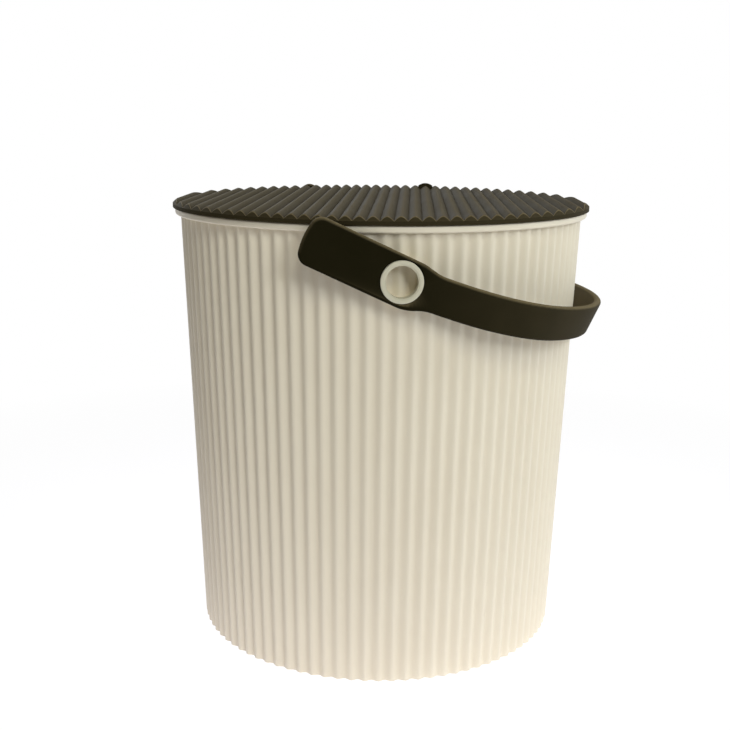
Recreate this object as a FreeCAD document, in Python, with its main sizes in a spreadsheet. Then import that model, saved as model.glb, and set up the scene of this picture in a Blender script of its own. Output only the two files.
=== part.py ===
import FreeCAD, Part
import math
import os
import re

import Sketcher

# Frame: +Z up, origin on the floor at the bucket's axis, pivot axis along Y.
# The front pivot is at -Y, and the bail hangs towards +X.

DRIVING = (
    ("overrun", 2.0),
    # Bucket wall, rim and floor
    ("body_height", 283.8),
    ("rim_reach", 3.6),
    ("rim_height", 4.4),
    ("rim_round", 1.2),
    ("wall_taper", 10.4),
    ("wall_thickness", 2.0),
    ("flute_count", 90),
    ("flute_depth", 1.8),
    ("flute_land", 0.5),
    ("floor_thickness", 2.4),
    ("floor_round", 5.0),
    ("foot_height", 4.0),
    ("foot_width", 5.2),
    ("mouth_round", 1.0),
    # Pivot bosses
    ("pivot_drop", 30.5),
    ("barrel_wall", 1.0),
    ("shoulder_step", 2.4),
    ("shoulder_gap", 0.3),
    # Lid
    ("lid_radius", 137.5),
    ("lid_overhang", 1.5),
    ("lid_plate", 2.6),
    ("lid_band", 2.4),
    ("lid_bevel", 2.8),
    ("lid_angle", 6.7),
    ("rib_depth", 2.6),
    ("rib_pitch", 7.75),
    ("rib_land", 0.4),
    ("plug_depth", 10.0),
    ("plug_wall", 2.0),
    ("plug_draft", 0.5),
    ("plug_clearance", 0.7),
    ("tab_width", 11.0),
    ("tab_length", 5.0),
    ("tab_rise", 2.0),
    ("tab_rib_count", 4),
    # Handle
    ("handle_angle", 25.0),
    ("strap_width", 21.5),
    ("strap_thickness", 4.6),
    ("strap_bow", 630.0),
    ("strap_angle", 3.5),
    ("plate_margin", 1.6),
    ("plate_end", 8.0),
    ("neck_length", 11.0),
    ("neck_round", 25.0),
    ("tail_length", 60.0),
    ("tail_bow", 45.0),
    ("tail_round", 7.0),
    ("bail_side", 38.0),
    ("bail_corner", 80.0),
    ("bail_margin", 0.1),
    ("side_clearance", 0.7),
    ("edge_round", 1.8),
    ("pivot_clearance", 0.25),
    # Pivot rings
    ("ring_radius", 12.2),
    ("ring_lap", 1.0),
    ("ring_flange", 2.0),
    ("ring_proud", 0.5),
    ("ring_round", 0.6),
    ("ring_gap", 0.5),
    ("seat_gap", 0.3),
    ("spigot_length", 4.0),
    ("spigot_wall", 0.95),
    ("spigot_clearance", 0.05),
)

DERIVED = (
    # Bucket wall: the crest line of the reeds runs from the floor to under the rim
    ("rim_radius", "lid_radius - lid_overhang"),
    ("wall_top_radius", "rim_radius - rim_reach"),
    ("wall_base_radius", "wall_top_radius - wall_taper"),
    ("rim_under", "body_height - rim_height"),
    ("rim_low", "rim_under + rim_round"),
    ("rim_high", "body_height - rim_round"),
    ("rim_flat", "rim_radius - rim_round"),
    ("wall_slope", "(wall_top_radius - wall_base_radius) / rim_under"),
    ("wall_depth", "wall_thickness + flute_depth"),
    ("above_rim", "body_height + overrun"),
    ("mouth_radius", "wall_base_radius - wall_depth + wall_slope * body_height"),
    ("mouth_low", "body_height - mouth_round"),
    ("mouth_wide", "mouth_radius + mouth_round"),
    ("floor_top", "foot_height + floor_thickness"),
    ("floor_edge", "floor_top + floor_round"),
    ("cavity_radius", "wall_base_radius - wall_depth + wall_slope * floor_edge"),
    ("floor_flat", "cavity_radius - floor_round"),
    ("foot_radius", "wall_base_radius - foot_width"),
    # Flute cutter: one section below the floor, one under the rim
    ("half_flute", "180 / flute_count"),
    ("low_crest", "wall_base_radius - wall_slope * overrun"),
    ("low_valley", "low_crest - flute_depth"),
    ("low_land", "flute_land / low_crest * 90 / pi"),
    ("low_crest_x", "low_crest * cos(half_flute - low_land)"),
    ("low_crest_y", "low_crest * sin(half_flute - low_land)"),
    ("low_out_x", "(low_crest + overrun) * cos(half_flute - low_land)"),
    ("low_out_y", "(low_crest + overrun) * sin(half_flute - low_land)"),
    ("low_reed", "(pow(low_crest_y; 2) + pow(flute_depth; 2)) / (2 * flute_depth)"),
    ("top_valley", "wall_top_radius - flute_depth"),
    ("top_land", "flute_land / wall_top_radius * 90 / pi"),
    ("top_crest_x", "wall_top_radius * cos(half_flute - top_land)"),
    ("top_crest_y", "wall_top_radius * sin(half_flute - top_land)"),
    ("top_out_x", "(wall_top_radius + overrun) * cos(half_flute - top_land)"),
    ("top_out_y", "(wall_top_radius + overrun) * sin(half_flute - top_land)"),
    ("top_reed", "(pow(top_crest_y; 2) + pow(flute_depth; 2)) / (2 * flute_depth)"),
    # Handle faces and the stack of parts along the pivot axis
    ("pivot_height", "body_height - pivot_drop"),
    ("handle_in", "lid_radius + side_clearance"),
    ("handle_out", "handle_in + strap_thickness"),
    ("ring_face", "handle_out + ring_proud"),
    ("barrel_end", "ring_face - ring_flange"),
    ("barrel_radius", "ring_radius - ring_lap"),
    ("barrel_bore", "barrel_radius - barrel_wall"),
    ("shoulder_radius", "barrel_radius + shoulder_step"),
    ("shoulder_end", "handle_in - shoulder_gap"),
    ("barrel_length", "2 * barrel_end"),
    ("shoulder_length", "2 * shoulder_end"),
    ("counterbore", "ring_radius + ring_gap"),
    ("counterbore_floor", "barrel_end - seat_gap"),
    ("pivot_hole", "barrel_radius + pivot_clearance"),
    ("handle_beyond", "handle_out + overrun"),
    ("spigot_radius", "barrel_bore - spigot_clearance"),
    ("ring_bore", "spigot_radius - spigot_wall"),
    ("spigot_end", "barrel_end - spigot_length"),
    ("ring_shoulder", "ring_radius - ring_round"),
    ("ring_edge", "ring_face - ring_round"),
    ("ring_lip", "ring_bore + ring_round"),
    # Lid section, with its seat on the rim at height zero
    ("lid_height", "lid_plate + rib_depth"),
    ("lid_crest_radius", "lid_radius - lid_bevel"),
    ("plug_low", "mouth_radius - wall_slope * plug_depth - plug_clearance"),
    ("plug_tip", "plug_low - plug_draft"),
    ("plug_inside", "plug_tip - plug_wall"),
    ("above_lid", "lid_height + overrun"),
    ("rib_groove_count", "ceil(2 * lid_radius / rib_pitch)"),
    ("groove_first", "rib_pitch * (rib_groove_count - 1) / 2"),
    ("groove_run", "rib_pitch * (rib_groove_count - 1)"),
    ("groove_half", "(rib_pitch - rib_land) / 2"),
    ("groove_left", "groove_first + groove_half"),
    ("groove_right", "groove_first - groove_half"),
    ("rib_arc", "(pow(groove_half; 2) + pow(rib_depth; 2)) / (2 * rib_depth)"),
    ("lid_across", "2 * (lid_radius + overrun)"),
    ("tab_centre", "tab_rib_count * rib_pitch"),
    ("tab_left", "tab_centre - tab_width / 2"),
    ("tab_right", "tab_centre + tab_width / 2"),
    ("tab_top", "lid_height + tab_rise"),
    ("tab_foot", "lid_plate / 2"),
    ("tab_rear", "sqrt(pow(lid_crest_radius; 2) - pow(tab_right; 2))"),
    ("tab_arc", "(pow(tab_width / 2; 2) + pow(tab_rise; 2)) / (2 * tab_rise)"),
    # Bail in plan: straight sides, two corner arcs and one wide arc, inner and outer face
    ("lid_corner_rise", "body_height + lid_band - pivot_height"),
    ("bail_in", "sqrt(pow(lid_radius; 2) + pow(lid_corner_rise; 2)) + bail_margin"),
    ("bail_out", "bail_in + strap_thickness"),
    ("bail_rise", "bail_in - bail_side"),
    ("corner_centre", "handle_in - bail_corner"),
    ("crown_square", "pow(bail_rise; 2) + pow(corner_centre; 2) - pow(bail_corner; 2)"),
    ("crown_in", "crown_square / (2 * (bail_rise - bail_corner))"),
    ("crown_centre", "bail_in - crown_in"),
    ("crown_out", "crown_in + strap_thickness"),
    ("corner_out", "bail_corner + strap_thickness"),
    ("crown_reach", "crown_in - bail_corner"),
    ("join_cos", "(bail_side - crown_centre) / crown_reach"),
    ("join_sin", "corner_centre / crown_reach"),
    ("join_in_x", "crown_centre + crown_in * join_cos"),
    ("join_in_y", "crown_in * join_sin"),
    ("join_out_x", "crown_centre + crown_out * join_cos"),
    ("join_out_y", "crown_out * join_sin"),
    # Handle from the side: tail, plate, neck and bowed strap, with the pivot at the origin
    ("plate_half", "counterbore + plate_margin"),
    ("strap_half", "strap_width / 2"),
    ("tail_rise", "plate_half - tail_round"),
    ("tail_reach", "tail_bow - tail_round"),
    ("tail_run", "sqrt(pow(tail_reach; 2) - pow(tail_rise; 2))"),
    ("tail_corner", "tail_length - tail_bow + tail_run"),
    ("tail_join_x", "tail_length - tail_bow + tail_bow * tail_run / tail_reach"),
    ("tail_join_y", "tail_bow * tail_rise / tail_reach"),
    ("bow_x", "strap_bow * sin(strap_angle)"),
    ("bow_y", "strap_bow * cos(strap_angle)"),
    ("bow_top", "strap_bow - strap_half"),
    ("bow_low", "strap_bow + strap_half"),
    ("neck_end", "plate_end + neck_length"),
    ("neck_top", "bow_y - sqrt(pow(bow_top; 2) - pow(neck_end + bow_x; 2))"),
    ("neck_low", "sqrt(pow(bow_low; 2) - pow(neck_end + bow_x; 2)) - bow_y"),
    ("strap_end", "bail_out + overrun"),
    ("end_top", "bow_y - sqrt(pow(bow_top; 2) - pow(strap_end + bow_x; 2))"),
    ("end_low", "bow_y - sqrt(pow(bow_low; 2) - pow(strap_end + bow_x; 2))"),
    ("band_half", "end_top + overrun"),
    ("band_height", "2 * band_half"),
    ("trim_top", "band_half + overrun"),
    ("trim_tail", "tail_length + overrun"),
    ("trim_end", "strap_end + overrun"),
    ("handle_across", "2 * handle_beyond"),
)

LEFT = 1
RIGHT = -1
PARALLEL = 1 - 1e-6

doc = FreeCAD.newDocument("bucket_with_lid")


def make_sheet():
    """Fill the spreadsheet: driving sizes as plain numbers, the rest as formulas on them."""
    sizes = doc.addObject("Spreadsheet::Sheet", "Sizes")
    rows = [(name, str(number)) for name, number in DRIVING]
    rows += [(name, "=" + formula) for name, formula in DERIVED]
    for row, (name, content) in enumerate(rows, start=1):
        sizes.set(f"A{row}", name)
        sizes.set(f"B{row}", content)
        sizes.setAlias(f"B{row}", name)
    doc.recompute()
    return sizes


sheet = make_sheet()


def size(name):
    """Value of a sheet cell, or of its negative when the name starts with a minus."""
    if name == 0:
        return 0.0
    if name.startswith("-"):
        return -size(name[1:])
    return float(sheet.get(name))


def bound(name):
    """Expression text for a sheet cell."""
    return re.sub(r"[a-z_]+", lambda word: "Sizes." + word.group(), name)


def sketch_on(body, role, name, lift=None):
    """Sketch on one of the body's origin planes, moved along its normal by a sheet size."""
    sketch = body.newObject("Sketcher::SketchObject", name)
    plane = next(item for item in body.Origin.OriginFeatures if item.Role == role)
    sketch.AttachmentSupport = [(plane, "")]
    sketch.MapMode = "FlatFace"
    if lift:
        sketch.setExpression("AttachmentOffset.Base.z", bound(lift))
    return sketch


def pin(sketch, shape, vertex, point):
    """Hold a vertex at a point given by two sheet sizes."""
    for coordinate, kind, axis in zip(point, ("DistanceX", "DistanceY"), (-2, -1)):
        if coordinate == 0:
            sketch.addConstraint(Sketcher.Constraint("PointOnObject", shape, vertex, axis))
            continue
        rule = Sketcher.Constraint(kind, -1, 1, shape, vertex, size(coordinate))
        index = sketch.addConstraint(rule)
        sketch.setExpression(f"Constraints[{index}]", bound(coordinate))


def arc_between(start, end, radius, side):
    """Minor arc between two points, its centre on the given side of the run."""
    chord = end - start
    middle = (start + end) / 2
    reach = math.sqrt(radius ** 2 - chord.Length ** 2 / 4)
    across = FreeCAD.Vector(-chord.y, chord.x, 0).normalize()
    centre = middle + across * (side * reach)
    first, last = (start, end) if side == LEFT else (end, start)
    begin = math.atan2(first.y - centre.y, first.x - centre.x)
    finish = math.atan2(last.y - centre.y, last.x - centre.x)
    circle = Part.Circle(centre, FreeCAD.Vector(0, 0, 1), radius)
    return Part.ArcOfCircle(circle, begin, finish)


def outline(sketch, corners):
    """Closed loop through corners (x, y), or (x, y, radius, side) where an arc leaves."""
    spots = [FreeCAD.Vector(size(corner[0]), size(corner[1]), 0) for corner in corners]
    runs = []
    for corner, start, end in zip(corners, spots, spots[1:] + spots[:1]):
        if len(corner) == 2:
            shape = sketch.addGeometry(Part.LineSegment(start, end))
            ends = (1, 2)
        else:
            radius, side = corner[2:]
            shape = sketch.addGeometry(arc_between(start, end, size(radius), side))
            ends = (1, 2) if side == LEFT else (2, 1)
        runs.append((shape, ends))
    for (shape, ends), (after, next_ends) in zip(runs, runs[1:] + runs[:1]):
        rule = Sketcher.Constraint("Coincident", shape, ends[1], after, next_ends[0])
        sketch.addConstraint(rule)
    for corner, (shape, ends) in zip(corners, runs):
        pin(sketch, shape, ends[0], corner[:2])
        if len(corner) > 2:
            radius = corner[2]
            rule = Sketcher.Constraint("Radius", shape, size(radius))
            index = sketch.addConstraint(rule)
            sketch.setExpression(f"Constraints[{index}]", bound(radius))


def circle(sketch, centre, radius):
    """Circle with its centre and radius bound to the sheet."""
    middle = FreeCAD.Vector(size(centre[0]), size(centre[1]), 0)
    ring = Part.Circle(middle, FreeCAD.Vector(0, 0, 1), size(radius))
    shape = sketch.addGeometry(ring)
    pin(sketch, shape, 3, centre)
    index = sketch.addConstraint(Sketcher.Constraint("Radius", shape, size(radius)))
    sketch.setExpression(f"Constraints[{index}]", bound(radius))


def add_feature(body, kind, name):
    """New feature in the body, with the volume that the body has before it."""
    before = 0.0 if body.Shape.isNull() else body.Shape.Volume
    return body.newObject(f"PartDesign::{kind}", name), before


def settle(feature, before, grows):
    """Recompute and make sure that the feature added or removed material."""
    doc.recompute()
    change = feature.Shape.Volume - before
    if change == 0 or (change > 0) != grows:
        raise RuntimeError(f"{feature.Name} changed the volume by {change:.3f}")


def turned(body, kind, name, sketch):
    """Full revolution or groove about the sketch's vertical axis."""
    feature, before = add_feature(body, kind, name)
    feature.Profile = sketch
    feature.ReferenceAxis = (sketch, ["V_Axis"])
    settle(feature, before, kind == "Revolution")
    return feature


def extruded(body, kind, name, sketch, length, symmetric=False, reverse=False):
    """Pad or pocket with its length bound to the sheet."""
    feature, before = add_feature(body, kind, name)
    feature.Profile = sketch
    feature.setExpression("Length", bound(length))
    feature.SideType = "Symmetric" if symmetric else "One side"
    feature.Reversed = reverse
    settle(feature, before, kind == "Pad")
    return feature


def around(body, name, feature, sketch, count, grows):
    """Repeat a feature evenly about the sketch's normal."""
    pattern, before = add_feature(body, "PolarPattern", name)
    pattern.Originals = [feature]
    pattern.Axis = (sketch, ["N_Axis"])
    pattern.setExpression("Occurrences", bound(count))
    body.Tip = pattern
    settle(pattern, before, grows)


def make_body():
    """Reeded bucket with rim, foot ring and two hollow pivot bosses."""
    body = doc.addObject("PartDesign::Body", "bucket_body")
    blank = sketch_on(body, "XZ_Plane", "bucket_outside")
    outline(blank, (
        (0, 0),
        ("wall_base_radius", 0),
        ("wall_top_radius", "rim_under"),
        ("rim_flat", "rim_under", "rim_round", LEFT),
        ("rim_radius", "rim_low"),
        ("rim_radius", "rim_high", "rim_round", LEFT),
        ("rim_flat", "body_height"),
        (0, "body_height"),
    ))
    turned(body, "Revolution", "bucket_blank", blank)

    sections = []
    for level, lift in (("low", "-overrun"), ("top", "rim_under")):
        section = sketch_on(body, "XY_Plane", f"flute_{level}", lift)
        outline(section, (
            (f"{level}_valley", 0, f"{level}_reed", LEFT),
            (f"{level}_crest_x", f"-{level}_crest_y"),
            (f"{level}_out_x", f"-{level}_out_y"),
            (f"{level}_out_x", f"{level}_out_y"),
            (f"{level}_crest_x", f"{level}_crest_y", f"{level}_reed", LEFT),
        ))
        sections.append(section)
    flute, before = add_feature(body, "SubtractiveLoft", "flute")
    flute.Profile = sections[0]
    flute.Sections = [sections[1]]
    flute.Ruled = True
    settle(flute, before, False)
    around(body, "flutes", flute, sections[0], "flute_count", False)

    for name, outer, length in (
        ("shoulder", "shoulder_radius", "shoulder_length"),
        ("barrel", "barrel_radius", "barrel_length"),
    ):
        ring = sketch_on(body, "XZ_Plane", f"{name}_ring")
        circle(ring, (0, "pivot_height"), outer)
        circle(ring, (0, "pivot_height"), "barrel_bore")
        extruded(body, "Pad", name, ring, length, symmetric=True)

    inside = sketch_on(body, "XZ_Plane", "bucket_inside")
    outline(inside, (
        (0, "floor_top"),
        ("floor_flat", "floor_top", "floor_round", LEFT),
        ("cavity_radius", "floor_edge"),
        ("mouth_radius", "mouth_low", "mouth_round", RIGHT),
        ("mouth_wide", "body_height"),
        ("mouth_wide", "above_rim"),
        (0, "above_rim"),
    ))
    turned(body, "Groove", "cavity", inside)

    under = sketch_on(body, "XZ_Plane", "bucket_under")
    outline(under, (
        (0, "-overrun"),
        ("foot_radius", "-overrun"),
        ("foot_radius", "foot_height"),
        (0, "foot_height"),
    ))
    turned(body, "Groove", "foot_recess", under)
    return body


def make_lid():
    """Ribbed lid with a bevelled edge, a plug ring and a lift tab."""
    body = doc.addObject("PartDesign::Body", "lid")
    section = sketch_on(body, "XZ_Plane", "lid_section")
    outline(section, (
        (0, 0),
        ("plug_inside", 0),
        ("plug_inside", "-plug_depth"),
        ("plug_tip", "-plug_depth"),
        ("plug_low", 0),
        ("lid_radius", 0),
        ("lid_radius", "lid_band"),
        ("lid_crest_radius", "lid_height"),
        (0, "lid_height"),
    ))
    turned(body, "Revolution", "lid_blank", section)

    groove_sketch = sketch_on(body, "XZ_Plane", "rib_groove")
    outline(groove_sketch, (
        ("-groove_first", "lid_plate", "rib_arc", RIGHT),
        ("-groove_right", "lid_height"),
        ("-groove_right", "above_lid"),
        ("-groove_left", "above_lid"),
        ("-groove_left", "lid_height", "rib_arc", RIGHT),
    ))
    groove = extruded(body, "Pocket", "groove", groove_sketch, "lid_across", symmetric=True)
    ribs, before = add_feature(body, "LinearPattern", "ribs")
    ribs.Originals = [groove]
    ribs.Direction = (groove_sketch, ["H_Axis"])
    ribs.setExpression("Length", bound("groove_run"))
    ribs.setExpression("Occurrences", bound("rib_groove_count"))
    body.Tip = ribs
    settle(ribs, before, False)

    tab_sketch = sketch_on(body, "XZ_Plane", "tab_section", "-tab_rear")
    outline(tab_sketch, (
        ("tab_left", "tab_foot"),
        ("tab_right", "tab_foot"),
        ("tab_right", "lid_height", "tab_arc", LEFT),
        ("tab_centre", "tab_top", "tab_arc", LEFT),
        ("tab_left", "lid_height"),
    ))
    extruded(body, "Pad", "lift_tab", tab_sketch, "tab_length")
    body.setExpression("Placement.Base.z", bound("body_height"))
    body.setExpression("Placement.Rotation.Angle", "-" + bound("lid_angle"))
    return body


def runs_along(edge, axis):
    """True for a straight edge that is parallel to the axis."""
    if edge.Curve.TypeId != "Part::GeomLine":
        return False
    return abs(edge.tangentAt(edge.FirstParameter).dot(axis)) > PARALLEL


def neck_edges(shape):
    """Edges across the strap at both ends of the neck."""
    across = FreeCAD.Vector(0, 1, 0)
    places = (size("plate_end"), size("neck_end"))
    near_share = 0.01
    names = []
    for index, edge in enumerate(shape.Edges, start=1):
        away = min(abs(edge.CenterOfMass.x - place) for place in places)
        if away < size("neck_length") * near_share and runs_along(edge, across):
            names.append(f"Edge{index}")
    return names


def long_edges(shape):
    """Edges that run along the strap and round the plates and tails."""
    across = FreeCAD.Vector(0, 1, 0)
    upright = FreeCAD.Vector(0, 0, 1)
    return [
        f"Edge{index}" for index, edge in enumerate(shape.Edges, start=1)
        if not runs_along(edge, across) and not runs_along(edge, upright)
    ]


def rounded(body, name, base, edges, radius):
    """Fillet with its radius bound to the sheet."""
    feature = body.newObject("PartDesign::Fillet", name)
    feature.Base = (base, edges)
    feature.setExpression("Radius", bound(radius))
    doc.recompute()
    return feature


def make_handle():
    """Bail strap with a plate, a pivot hole and a tail at each end."""
    body = doc.addObject("PartDesign::Body", "handle")
    plan = sketch_on(body, "XY_Plane", "bail_plan")
    outline(plan, (
        ("-trim_tail", "-handle_out"),
        ("bail_side", "-handle_out", "corner_out", LEFT),
        ("join_out_x", "-join_out_y", "crown_out", LEFT),
        ("join_out_x", "join_out_y", "corner_out", LEFT),
        ("bail_side", "handle_out"),
        ("-trim_tail", "handle_out"),
        ("-trim_tail", "handle_in"),
        ("bail_side", "handle_in", "bail_corner", RIGHT),
        ("join_in_x", "join_in_y", "crown_in", RIGHT),
        ("join_in_x", "-join_in_y", "bail_corner", RIGHT),
        ("bail_side", "-handle_in"),
        ("-trim_tail", "-handle_in"),
    ))
    extruded(body, "Pad", "bail_band", plan, "band_height", symmetric=True)

    side = sketch_on(body, "XZ_Plane", "strap_side")
    outline(side, (
        ("-trim_tail", "-trim_top"),
        ("trim_end", "-trim_top"),
        ("trim_end", "trim_top"),
        ("-trim_tail", "trim_top"),
    ))
    outline(side, (
        ("-tail_corner", "-plate_half"),
        ("plate_end", "-plate_half"),
        ("neck_end", "-neck_low", "bow_low", LEFT),
        ("strap_end", "end_low"),
        ("strap_end", "end_top", "bow_top", RIGHT),
        ("neck_end", "neck_top"),
        ("plate_end", "plate_half"),
        ("-tail_corner", "plate_half", "tail_round", LEFT),
        ("-tail_join_x", "tail_join_y", "tail_bow", LEFT),
        ("-tail_join_x", "-tail_join_y", "tail_round", LEFT),
    ))
    trimmed = extruded(body, "Pocket", "strap_trim", side, "handle_across", symmetric=True)

    neck = rounded(body, "neck_bends", trimmed, neck_edges(trimmed.Shape), "neck_round")
    rounded(body, "soft_edges", neck, long_edges(neck.Shape), "edge_round")

    bore = sketch_on(body, "XY_Plane", "pivot_bore")
    outline(bore, (
        (0, "-handle_beyond"),
        ("counterbore", "-handle_beyond"),
        ("counterbore", "-counterbore_floor"),
        ("pivot_hole", "-counterbore_floor"),
        ("pivot_hole", "counterbore_floor"),
        ("counterbore", "counterbore_floor"),
        ("counterbore", "handle_beyond"),
        (0, "handle_beyond"),
    ))
    turned(body, "Groove", "pivot_holes", bore)
    body.Placement = FreeCAD.Placement(
        FreeCAD.Vector(), FreeCAD.Rotation(FreeCAD.Vector(0, 1, 0), size("handle_angle")))
    body.setExpression("Placement.Base.z", bound("pivot_height"))
    body.setExpression("Placement.Rotation.Angle", bound("handle_angle"))
    return body


def make_ring(name, turn):
    """Snap ring: a flange over the handle's counterbore and a spigot in the boss."""
    body = doc.addObject("PartDesign::Body", name)
    section = sketch_on(body, "XY_Plane", f"{name}_section")
    outline(section, (
        ("ring_lip", "-ring_face"),
        ("ring_shoulder", "-ring_face", "ring_round", LEFT),
        ("ring_radius", "-ring_edge"),
        ("ring_radius", "-barrel_end"),
        ("spigot_radius", "-barrel_end"),
        ("spigot_radius", "-spigot_end"),
        ("ring_bore", "-spigot_end"),
        ("ring_bore", "-ring_edge"),
    ))
    turned(body, "Revolution", f"{name}_turned", section)
    body.Placement = FreeCAD.Placement(
        FreeCAD.Vector(), FreeCAD.Rotation(FreeCAD.Vector(0, 0, 1), turn))
    body.setExpression("Placement.Base.z", bound("pivot_height"))
    return body


def write_parts(pieces):
    """Check the whole document, then write each piece to a file of its own name."""
    doc.recompute()
    for item in doc.Objects:
        if "Invalid" in item.State or "Error" in item.State:
            raise RuntimeError(f"{item.Name} failed: {item.State}")
    os.makedirs("parts", exist_ok=True)
    for piece in pieces:
        shape = piece.Shape
        if shape.isNull() or not shape.isValid() or len(shape.Solids) != 1:
            raise RuntimeError(f"{piece.Label} is not one valid solid")
        shape.exportStep(f"parts/{piece.Label}.step")
        print(f"{piece.Label}: {shape.Volume / 1000:.1f} cm3, {len(shape.Faces)} faces")


write_parts((
    make_body(),
    make_lid(),
    make_handle(),
    make_ring("pivot_ring_front", 0),
    make_ring("pivot_ring_rear", 180),
))
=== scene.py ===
"""Looks of a lidded bucket: reeded cream shell, ribbed dark lid, strap handle and pivot rings."""

import math

import bmesh
import bpy
from bpy.props import FloatProperty, FloatVectorProperty, IntProperty, PointerProperty
from mathutils import Matrix, Vector


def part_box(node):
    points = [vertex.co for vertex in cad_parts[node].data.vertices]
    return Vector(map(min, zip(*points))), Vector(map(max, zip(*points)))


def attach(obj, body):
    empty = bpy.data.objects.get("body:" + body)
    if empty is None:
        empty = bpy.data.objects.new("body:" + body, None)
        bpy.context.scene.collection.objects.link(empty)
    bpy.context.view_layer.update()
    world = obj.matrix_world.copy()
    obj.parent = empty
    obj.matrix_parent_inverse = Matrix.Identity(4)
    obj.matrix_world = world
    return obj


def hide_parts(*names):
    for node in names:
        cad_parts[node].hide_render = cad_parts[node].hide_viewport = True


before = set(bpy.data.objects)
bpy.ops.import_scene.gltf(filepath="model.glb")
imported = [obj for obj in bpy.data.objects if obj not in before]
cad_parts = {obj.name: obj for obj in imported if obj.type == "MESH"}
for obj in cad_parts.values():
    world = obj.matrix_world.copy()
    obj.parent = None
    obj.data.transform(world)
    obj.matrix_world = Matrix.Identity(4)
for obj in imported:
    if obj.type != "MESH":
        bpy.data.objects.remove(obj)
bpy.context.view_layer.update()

bl_info = {
    "name": "Bucket With Lid",
    "version": (1, 0, 0),
    "blender": (4, 5, 0),
    "location": "View3D > Sidebar > Bucket",
    "description": "Builds the looks of a reeded bucket with a ribbed lid round its fixed frame",
    "category": "Object",
}

# Places read from the frame

shell_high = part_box("bucket_body")[1]
lid_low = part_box("lid")[0]
ring_low, ring_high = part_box("pivot_ring_front")
pivot_height = (ring_low.z + ring_high.z) / 2

# How fine the meshes are; two points nearer than TOUCHING count as one place

TOUCHING = 0.000001
SEAM_WELD = 0.00001
SHARP_ANGLE = math.radians(38)
PLAIN_PARTS = 16
PLAIN_STEPS = 6
CORNER_STEPS = 5
TAB_STEPS = 6
TAB_BEVEL_STEPS = 2

# Profile of a round bevel

ROUND_BEVEL = 0.5

# Half a step, which keeps row and column numbers clear of rounding errors

HALF_STEP = 0.5

# Rows of the lid's mesh from the foot of its band inwards: shares across the lid, down the bevel and down the
# band, and how far the row takes the painted highlight along the ribs' ends

LID_ROWS = (
    (1, 1, 1, 0),
    (1, 1, 0, 0),
    (1, 0.15, 0, 0),
    (1, 0.001, 0, 1),
    (1, 0, 0, 1),
    (0.996, 0, 0, 0),
    (0.5, 0, 0, 0),
)

# Value that a noise texture varies round

NOISE_MIDDLE = 0.5

# White as the camera sees it, for the floor and the world

WHITE = {"Color": (1, 1, 1, 1), "Strength": 1.0}

# Place and width of each lamp

LAMPS = {
    "key": ((0.12, -1.0, 1.05), 0.3),
    "front": ((0.4, -1.2, 0.75), 0.35),
    "side": ((1.35, -0.1, 0.75), 1.0),
    "rear": ((-0.5, 1.3, 0.9), 0.8),
}


def length(name, description, default):
    """Property for one length in metres."""
    return FloatProperty(name=name, description=description, default=default, min=0, precision=5,
                         unit="LENGTH")


def angle(name, description, degrees):
    """Property for one angle."""
    return FloatProperty(name=name, description=description, default=math.radians(degrees), subtype="ANGLE")


def number(name, description, default):
    """Property for a plain number."""
    return FloatProperty(name=name, description=description, default=default, precision=4)


def count(name, description, default):
    """Property for how often something repeats."""
    return IntProperty(name=name, description=description, default=default, min=1)


def colour(name, description, default):
    """Property for a colour."""
    return FloatVectorProperty(name=name, description=description, default=default, subtype="COLOR",
                               min=0, max=1)


class ShellSizes(bpy.types.PropertyGroup):
    """Sizes of the bucket's own moulding"""

    height: length("Height", "Floor to the top of the rim", shell_high.z)
    rim_radius: length("Rim radius", "Outside of the rim", shell_high.x)
    rim_height: length("Rim height", "Height of the rim's outside", 0.0044)
    rim_reach: length("Rim reach", "How far the rim stands out past the reeds", 0.0036)
    rim_round: length("Rim round", "Radius of the rim's edges", 0.0012)
    taper: length("Taper", "Radius lost from the rim to the floor", 0.0104)
    wall: length("Wall", "Least thickness of the wall, behind a flute", 0.002)
    flutes: count("Flutes", "Flutes round the wall", 90)
    flute_steps: count("Steps per flute", "Mesh columns in one flute", 16)
    flute_depth: length("Flute depth", "Depth of a flute below its crests", 0.0018)
    floor: length("Floor", "Thickness of the floor", 0.0024)
    floor_round: length("Floor round", "Radius between the floor and the wall", 0.005)
    foot_height: length("Foot height", "How far the floor stands above the ground", 0.004)
    foot_width: length("Foot width", "Width of the foot ring", 0.0052)
    foot_round: length("Foot round", "Radius of the foot's edges", 0.0004)
    mouth_round: length("Mouth round", "Radius of the mouth's edge", 0.001)
    wall_rows: count("Wall rows", "Mesh rows up the wall", 8)
    barrel_radius: length("Barrel radius", "Outside of the hollow pivot", 0.0112)
    barrel_wall: length("Barrel wall", "Wall of the hollow pivot", 0.001)
    barrel_round: length("Barrel round", "Radius of the hollow pivot's edges", 0.00025)
    shoulder_radius: length("Shoulder radius", "Shoulder that the handle runs on", 0.0136)
    shoulder_end: length("Shoulder end", "Distance of the shoulder's face from the bucket's axis", 0.1379)


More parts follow.
